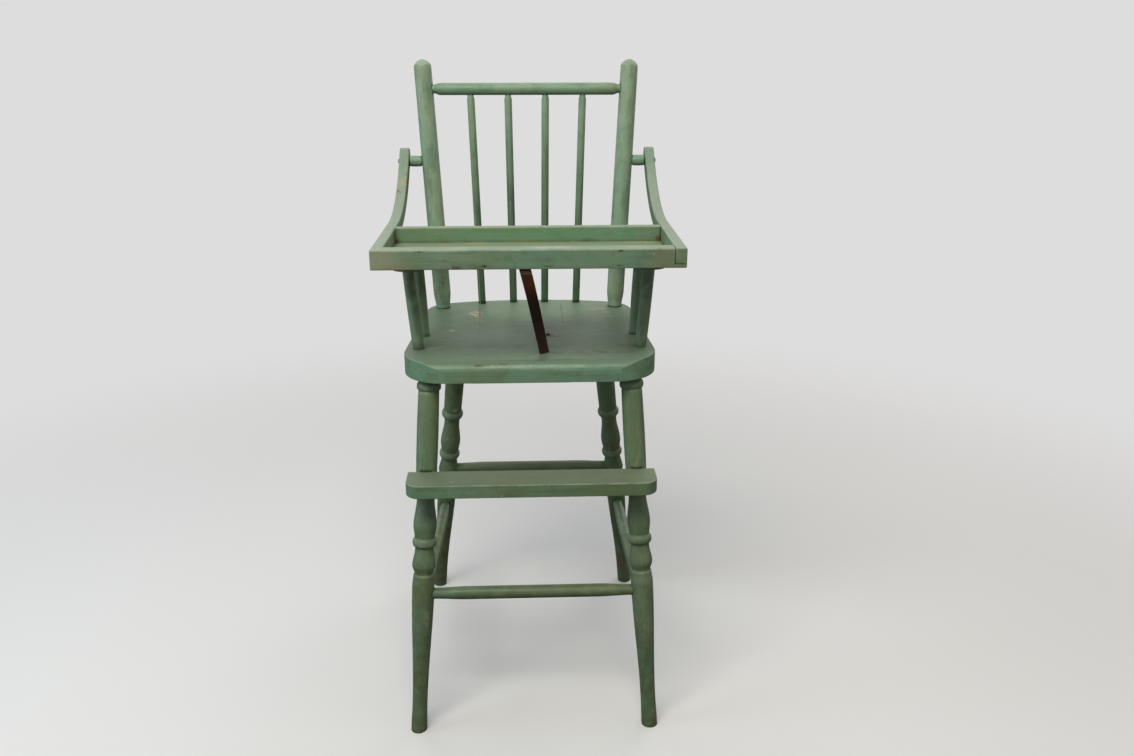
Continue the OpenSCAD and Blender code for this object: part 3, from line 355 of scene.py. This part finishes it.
armPostShade = [  # painted shade: dark under the armrests and tray, and where the posts go into the seat
    ((-156, -108, 650), (30, 30, 56), "#4a4f34", 0.7, 14), ((156, -108, 650), (30, 30, 56), "#4a4f34", 0.55, 14),
    ((-156, -22, 640), (30, 30, 60), "#4a4f34", 0.6, 14), ((156, -22, 640), (30, 30, 60), "#4a4f34", 0.6, 14),
    ((-158, -108, 562), (30, 30, 10), "#565c3e", 0.6, 6), ((158, -108, 562), (30, 30, 10), "#565c3e", 0.6, 6)]
spindleMarks = [
    ((-80, 150, 640), (10, 20, 60), "#8a8468", 0.75, 12), ((79, 150, 650), (10, 20, 60), "#7f7a5c", 0.65, 12)]

coats = {  # what each group of pieces has under and on its paint
    "seat": {"name": "brushedOilPaintOnSeat", "along": "x", "base": "seatGreen", "wear": 0.7, "topWashAndLight": "#78896f",
             "marks": seatMarksAndPaintedLight + seatJoints},
    "footrest": {"name": "brushedOilPaintOnFootrest", "along": "x", "base": "footGreen", "wear": 1.0,
                 "topWashAndLight": "#778069"},
    "legs": {"name": "brushedOilPaintOnLegs", "along": "z", "base": "legGreen", "wear": 0.6, "grimeAndShade": 0.7,
             "cool": 0.22, "darkerTowardsFloor": 0.42, "marks": legMarks},
    "stretchers": {"name": "brushedOilPaintOnStretchers", "along": "x", "base": "legGreen", "wear": 0.6,
                   "darkerTowardsFloor": 0.5, "marks": [((0, 156, 266), (190, 40, 40), "#8b9270", 0.5, 0)]},
    "sideStretchers": {"name": "brushedOilPaintOnSideStretchers", "along": "y", "base": "legGreen",
                       "wear": 0.6, "darkerTowardsFloor": 0.4},
    "posts": {"name": "brushedOilPaintOnPosts", "along": "z", "base": "postGreenLitPaler", "wear": 0.8, "toned": 0.2,
              "grimeAndShade": 0.9, "marks": postMarks},
    "armPosts": {"name": "brushedOilPaintOnArmPosts", "along": "z", "base": "armPostGreenLitPaler", "wear": 0.8, "cool": 0.12,
                 "marks": armPostShade},
    "spindles": {"name": "brushedOilPaintOnSpindles", "along": "z", "base": "railGreen", "wear": 0.8,
                 "marks": spindleMarks},
    "rails": {"name": "brushedOilPaintOnRails", "along": "x", "base": "railGreen", "wear": 0.9},
    "armrests": {"name": "brushedOilPaintOnArmrests", "along": "y", "wear": 0.9},
    "tray": {"name": "brushedOilPaintOnTray", "along": "x", "topWashAndLight": "#8b9c84",
             "marks": rimMarks + trayMarks},
    "trayFloor": {"name": "brushedOilPaintOnTrayFloor", "along": "x", "wear": 0.8, "topWashAndLight": "#82906d",
                  "marks": trayMarks},
    "arms": {"name": "brushedOilPaintOnTrayArms", "along": "y", "wear": 0.9, "topWashAndLight": "#93a08d",
             "marks": armMarks + trayMarks[:4]},
    "painted": {"name": "brushedOilPaintOverNails", "along": "x", "wear": 1.4, "grimeAndShade": 1.2},
}
looks = {look: paintedBeech(**coat) for look, coat in coats.items()}
looks["steel"] = oldSteel("agedMildSteel")
looks["leather"] = harnessLeather("harnessLeather", Vector(joints["strap_swing"]["pos_m"]))
print("materials made:", len(looks))


# Wooden pieces: each is its CAD node, merged, with its arrises eased

# how close two points count as one, and an edge as lying on a seam or on a plane
closeness = {"weldMm": 0.002, "seamMm": 0.3, "planeMm": 0.1, "railEndMm": 0.5}
easing = {"mergeDeg": 0.4, "segments": 3}


def smoothed(piece, sharpDeg):
    piece.data.shade_smooth()
    piece.data.set_sharp_from_angle(angle=math.radians(sharpDeg))


def placed(name, work, look, node):
    # makes the object of a finished bmesh, in its CAD node's stead
    mesh = bpy.data.meshes.new(name)
    work.to_mesh(mesh)
    work.free()
    mesh.materials.append(looks[look])
    piece = bpy.data.objects.new(name, mesh)
    bpy.context.scene.collection.objects.link(piece)
    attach(piece, bodyOf[node])
    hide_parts(node)
    return piece


def longLoops(edges, atLeast):
    # the edges of those connected runs that are larger than a socket or a nail hole
    left, kept = set(edges), set()
    while left:
        run, ends = [], [left.pop()]
        while ends:
            edge = ends.pop()
            run.append(edge)
            for vert in edge.verts:
                for other in vert.link_edges:
                    if other in left:
                        left.remove(other)
                        ends.append(other)
        spots = [v.co for e in run for v in e.verts]
        if max(max(c[i] for c in spots) - min(c[i] for c in spots) for i in range(3)) > atLeast:
            kept.update(run)
    return [e for e in edges if e in kept]  # in the mesh's own order, so that each run gives the same result


seatSeamsMm = (-80, 56)
trayJoint = {"armInsideMm": 186.6, "railBackMm": -204, "floorTopMm": 705.3}


def woodenPiece(name, node, look, easedMm=0.0, flush=None, sharpDeg=50, shadeDeg=38, socketMm=40):
    # flush says which places of an edge, in mm, are painted over against the next piece and stay square
    work = bmesh.new()
    work.from_mesh(nodes[node].data)
    bmesh.ops.remove_doubles(work, verts=work.verts, dist=closeness["weldMm"] * mm)
    arris = work.faces.layers.float.new("arris")
    if easedMm:
        bmesh.ops.dissolve_limit(work, angle_limit=math.radians(easing["mergeDeg"]),
                                 verts=work.verts, edges=work.edges)
        if node == "left_tray_arm":  # its edges stay square beside the front rail only
            bmesh.ops.bisect_plane(work, geom=work.verts[:] + work.edges[:] + work.faces[:],
                                   plane_co=(0, trayJoint["railBackMm"] * mm, 0), plane_no=(0, 1, 0))
        hard = [e for e in work.edges if len(e.link_faces) == 2 and e.is_convex
                and e.calc_face_angle() > math.radians(sharpDeg)]
        loops = longLoops(hard, socketMm * mm)
        if flush:
            loops = [e for e in loops if not all(flush(v.co / mm) for v in e.verts)]
        made = bmesh.ops.bevel(work, geom=loops, offset=easedMm * mm, segments=easing["segments"],
                               profile=0.5, affect="EDGES", material=-1, clamp_overlap=True)
        for face in made["faces"]:
            face[arris] = 1.0
    if node.startswith("seat_board"):  # the boards' joints are closed with paint
        for vert in work.verts:
            for seam in seatSeamsMm:
                if abs(vert.co.x / mm - seam) < closeness["seamMm"]:
                    vert.co.x = seam * mm
    piece = placed(name, work, look, node)
    smoothed(piece, shadeDeg)
    if easedMm:
        piece.modifiers.new("evenShading", "WEIGHTED_NORMAL").keep_sharp = True
    return piece


def onSeatJoint(at):
    return min(abs(at.x - seam) for seam in seatSeamsMm) < closeness["seamMm"]


def onRailJoint(at):
    # the rail's left end and its underside; its right joint has opened
    atLeftEnd = at.x < closeness["railEndMm"] - trayJoint["armInsideMm"]
    return atLeftEnd or at.z < trayJoint["floorTopMm"] + closeness["planeMm"]


def onArmJoint(at):
    # the left arm's inner and lower edges as far as the front rail reaches
    slack = closeness["planeMm"]
    beside = at.y < trayJoint["railBackMm"] + slack
    return beside and (at.x > -trayJoint["armInsideMm"] - slack or at.z < trayJoint["floorTopMm"] + slack)


def onFloorJoint(at):
    return at.z > trayJoint["floorTopMm"] - closeness["planeMm"]


# node: name, look, how far its arrises are eased in mm, where they aren't, and in degrees from where an edge
# counts as an arris and from where the shading breaks
woodwork = {
    "seat_board_left": ("seatBoardLeft", "seat", 2.2, onSeatJoint, 24, 14),
    "seat_board_middle": ("seatBoardMiddle", "seat", 2.2, onSeatJoint, 24, 14),
    "seat_board_right": ("seatBoardRight", "seat", 2.2, onSeatJoint, 24, 14),
    "front_left_leg": ("frontLeftLeg", "legs", 0),
    "front_right_leg": ("frontRightLeg", "legs", 0),
    "rear_left_leg": ("rearLeftLeg", "legs", 0),
    "rear_right_leg": ("rearRightLeg", "legs", 0),
    "front_stretcher": ("frontStretcher", "stretchers", 0),
    "rear_stretcher": ("rearStretcher", "stretchers", 0),
    "left_side_stretcher": ("leftSideStretcher", "sideStretchers", 0),
    "right_side_stretcher": ("rightSideStretcher", "sideStretchers", 0),
    "footrest": ("footrestBoard", "footrest", 1.5),
    "left_back_post": ("leftBackPost", "posts", 0),
    "right_back_post": ("rightBackPost", "posts", 0),
    "crest_rail": ("crestRail", "rails", 0),
    "back_spindle_1": ("backSpindle1", "spindles", 0),
    "back_spindle_2": ("backSpindle2", "spindles", 0),
    "back_spindle_3": ("backSpindle3", "spindles", 0),
    "back_spindle_4": ("backSpindle4", "spindles", 0),
    "left_armrest": ("leftArmrest", "armrests", 2.6),
    "right_armrest": ("rightArmrest", "armrests", 2.6),
    "front_left_arm_post": ("frontLeftArmPost", "armPosts", 0),
    "front_right_arm_post": ("frontRightArmPost", "armPosts", 0),
    "rear_left_arm_post": ("rearLeftArmPost", "armPosts", 0),
    "rear_right_arm_post": ("rearRightArmPost", "armPosts", 0),
    "left_tray_arm": ("leftTrayArm", "arms", 1.8, onArmJoint, 50, 32),
    "right_tray_arm": ("rightTrayArm", "arms", 1.8),
    "tray_front_rail": ("trayFrontRail", "tray", 2.4, onRailJoint),
    "tray_rear_rail": ("trayRearRail", "tray", 1.8, onRailJoint),
    "tray_floor": ("trayFloor", "trayFloor", 1.6, onFloorJoint),
    "left_pivot_spacer": ("leftPivotSpacer", "rails", 0),
    "right_pivot_spacer": ("rightPivotSpacer", "rails", 0),
}
wooden = {node: woodenPiece(values[0], node, *values[1:]) for node, values in woodwork.items()}

turnings = {  # axes of the legs in mm, and the radius past which a ring's crest is rubbed
    "front_left_leg": ((-142, -134, 528), (-172.4, -214, 0)),
    "front_right_leg": ((142, -134, 528), (172.4, -214, 0)),
    "rear_left_leg": ((-115, 97, 528), (-173.5, 214, 0)),
    "rear_right_leg": ((115, 97, 528), (173.5, 214, 0)),
}
crestRadius = 16.9 * mm
for node, (top, foot) in turnings.items():
    start, end = Vector(top) * mm, Vector(foot) * mm
    way = (end - start).normalized()
    mesh = wooden[node].data
    for face in mesh.polygons:
        out = face.center - start
        if (out - way * out.dot(way)).length > crestRadius:
            mesh.attributes["arris"].data[face.index].value = 1.0
print("wooden pieces made:", len(wooden))

ironwork = {
    "footrest_screws": "steel", "armrest_screws": "steel", "tray_corner_nails": "painted",
    "tray_floor_nails": "steel", "left_pivot_screw": "painted", "right_pivot_screw": "painted",
    "strap_tacks": "steel", "seat_stud": "steel"}
for node, look in ironwork.items():
    nodes[node].data.materials.clear()
    nodes[node].data.materials.append(looks[look])


# The leather strap, in its hanging part and the tab nailed under the tray

strapLook = {
    "wideMm": 16, "endWideMm": 13.6, "thickMm": 2.6,
    "leanMm": 30,      # how far to the right its end hangs
    "endFreeMm": 1.5,  # how far its end stays above the lowest point of its solid
    "squareness": 0.21,  # tilts its cross lines square to its lean
    "waveMm": 0.8,     # how far it bends forward and back along its length
    "bowMm": 1.5,      # how far it bends to the right of a straight line
    "cupMm": 0.5,      # how far its edges curl forward
    "twistDeg": 9,
    "steps": 44,
}


def hangingStrap():
    look = strapLook
    fold = Vector(joints["strap_swing"]["pos_m"])
    lowest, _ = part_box("strap")
    drop = fold.z - lowest.z - look["endFreeMm"] * mm
    thick = look["thickMm"] * mm
    lean = look["leanMm"] * mm
    work = bmesh.new()
    bmesh.ops.create_grid(work, x_segments=6, y_segments=look["steps"], size=1.0)
    for vert in work.verts:
        across, down = vert.co.x, (1 - vert.co.y) / 2
        middle = Vector((lean * down + look["bowMm"] * mm * math.sin(math.pi * down ** 0.8), 0, -drop * down))
        turn = math.radians(look["twistDeg"]) * math.sin(math.pi * down)
        side = Vector((math.cos(turn), math.sin(turn), look["squareness"] * min(1, 6 * down)))
        half = (look["wideMm"] + (look["endWideMm"] - look["wideMm"]) * down) / 2 * mm
        wave = look["waveMm"] * mm * math.sin(2.6 * math.pi * down) * down
        cup = look["cupMm"] * mm * (across * across - 0.4)
        vert.co = fold + middle + side.normalized() * across * half + Vector((0, wave - cup, 0))
    work.normal_update()
    bmesh.ops.solidify(work, geom=work.faces[:], thickness=thick)
    bmesh.ops.translate(work, verts=work.verts, vec=(0, -thick / 2, 0))
    return work


def finishLeather(name, work, node):
    bmesh.ops.recalc_face_normals(work, faces=work.faces)
    arris = work.faces.layers.float.new("arris")
    hard = [e for e in work.edges if e.calc_face_angle(0) > math.radians(60)]
    made = bmesh.ops.bevel(work, geom=hard, offset=0.8 * mm, segments=3, profile=0.5, affect="EDGES",
                           material=-1, clamp_overlap=True)
    for face in made["faces"]:
        face[arris] = 1.0
    piece = placed(name, work, "leather", node)
    smoothed(piece, 60)
    return piece


# its tacks stand at these shares of its width from its middle
tabLook = {"tacksAt": (-0.25, 0.25), "dishMm": 3.5, "deepMm": 0.5}


def strapTab():
    low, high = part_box("strap_tab")
    work = bmesh.new()
    bmesh.ops.create_cube(work, size=1.0)
    bmesh.ops.scale(work, vec=high - low, verts=work.verts)
    bmesh.ops.translate(work, vec=(low + high) / 2, verts=work.verts)
    bmesh.ops.subdivide_edges(work, edges=work.edges, cuts=6, use_grid_fill=True)
    for vert in work.verts:  # dished where its two tacks pull it up
        for tack in tabLook["tacksAt"]:
            at = Vector(((low.x + high.x) / 2 + tack * (high.x - low.x), (low.y + high.y) / 2))
            reach = (vert.co.xy - at).length / (tabLook["dishMm"] * mm)
            if vert.co.z < low.z + closeness["planeMm"] * mm and reach < 1:
                vert.co.z += tabLook["deepMm"] * mm * (1 - reach)
    return work


finishLeather("strapHanging", hangingStrap(), "strap")
finishLeather("strapTab", strapTab(), "strap_tab")
print("strap made")


# Stage, light and camera

stage = {
    "floor": "#f4f2ef", "wall": "#dedddd", "bounce": "#716f6b",   # bounce: what the chair gets back from the floor
    "clearM": 0.75, "fadeM": 2.0,
}


def paleFloor():
    # Matt painted studio floor; far off, the camera sees it in the background's own colour.
    material, tree, shader, place = newMaterial("paleStudioFloor", {"Roughness": 0.85})
    shader.inputs["Base Color"].default_value = hexColour(stage["floor"])
    away = addNode(tree, "ShaderNodeVectorMath", {"operation": "LENGTH"}, {0: place}).outputs["Value"]
    seen = addNode(tree, "ShaderNodeLightPath").outputs["Is Camera Ray"]
    far = joined(tree, rising(tree, away, stage["clearM"], stage["fadeM"]), seen)
    dim = addNode(tree, "ShaderNodeBsdfDiffuse", {"Color": hexColour(stage["bounce"])})
    lit = addNode(tree, "ShaderNodeMixShader", links={0: seen, 1: dim.outputs[0], 2: shader.outputs["BSDF"]})
    glow = addNode(tree, "ShaderNodeEmission", {"Color": hexColour(stage["wall"])})
    mix = addNode(tree, "ShaderNodeMixShader", links={0: far, 1: lit.outputs[0], 2: glow.outputs[0]})
    output = next(n for n in tree.nodes if n.type == "OUTPUT_MATERIAL")
    tree.links.new(mix.outputs[0], output.inputs["Surface"])
    work = bmesh.new()
    bmesh.ops.create_circle(work, cap_ends=True, segments=96, radius=30)
    mesh = bpy.data.meshes.new("studioFloor")
    work.to_mesh(mesh)
    work.free()
    mesh.materials.append(material)
    floor = bpy.data.objects.new("studioFloor", mesh)
    bpy.context.scene.collection.objects.link(floor)


def softWorld():
    world = bpy.data.worlds.new("studioAir")
    bpy.context.scene.world = world
    world.use_nodes = True
    tree = world.node_tree
    tree.nodes.clear()
    path = addNode(tree, "ShaderNodeLightPath")
    seen = joined(tree, joined(tree, path.outputs["Is Camera Ray"], path.outputs["Is Glossy Ray"], "MAXIMUM"),
                  path.outputs["Is Transmission Ray"], "MAXIMUM")
    air = addNode(tree, "ShaderNodeBackground", {"Color": hexColour("#f1f2f0"), "Strength": 0.24})
    wall = addNode(tree, "ShaderNodeBackground", {"Color": hexColour(stage["wall"])})
    mix = addNode(tree, "ShaderNodeMixShader", links={0: seen, 1: air.outputs[0], 2: wall.outputs[0]})
    addNode(tree, "ShaderNodeOutputWorld", links={"Surface": mix.outputs[0]})


lamps = {  # place in m, width and height in m, watts, colour
    "keyAboveFront": ((-0.5, -1.45, 2.4), (1.9, 0.7), 37, "#fffcf4"),
    "coolLeft": ((-2.4, -0.5, 1.2), (1.0, 1.6), 15, "#bcdaf7"),
    "softTop": ((0.3, 0.4, 2.6), (2.0, 1.6), 12, "#fbfcff"),
    "warmRight": ((2.4, -1.2, 1.1), (1.2, 1.6), 1.2, "#fff1de"),
    "fillBehind": ((-1.6, 2.2, 1.7), (1.6, 1.6), 8, "#f6f9ff"),
    "fillRight": ((1.9, 2.3, 1.3), (1.6, 1.6), 11, "#fbfaf6"),
}
aimAt = Vector((0, 0, 0.55))


def softLamp(name, place, size, watts, colour):
    light = bpy.data.lights.new(name, "AREA")
    light.shape, light.size, light.size_y, light.energy = "RECTANGLE", size[0], size[1], watts
    light.color = hexColour(colour)[:3]
    lamp = bpy.data.objects.new(name, light)
    lamp.location = place
    lamp.rotation_euler = (aimAt - Vector(place)).to_track_quat("-Z", "Y").to_euler()
    bpy.context.scene.collection.objects.link(lamp)


camera = {"place": (-3.41, -1516.74, 992.83), "downDeg": 18.766, "rightDeg": 2.275, "focalPx": 1034.63,
          "photoWidthPx": 1134, "sensorMm": 36}


def photoCamera():
    data = bpy.data.cameras.new("photoCamera")
    data.sensor_fit, data.sensor_width = "HORIZONTAL", camera["sensorMm"]
    data.lens = camera["focalPx"] / camera["photoWidthPx"] * camera["sensorMm"]
    data.clip_start, data.clip_end = 0.05, 100
    shooter = bpy.data.objects.new("photoCamera", data)
    shooter.location = Vector(camera["place"]) * mm
    shooter.rotation_euler = Euler((math.radians(90 - camera["downDeg"]), 0, -math.radians(camera["rightDeg"])))
    bpy.context.scene.collection.objects.link(shooter)
    bpy.context.scene.camera = shooter


paleFloor()
softWorld()
for name, (place, size, watts, colour) in lamps.items():
    softLamp(name, place, size, watts, colour)
photoCamera()
bpy.context.scene.view_settings.view_transform = "Standard"
print("stage, lamps and camera made")
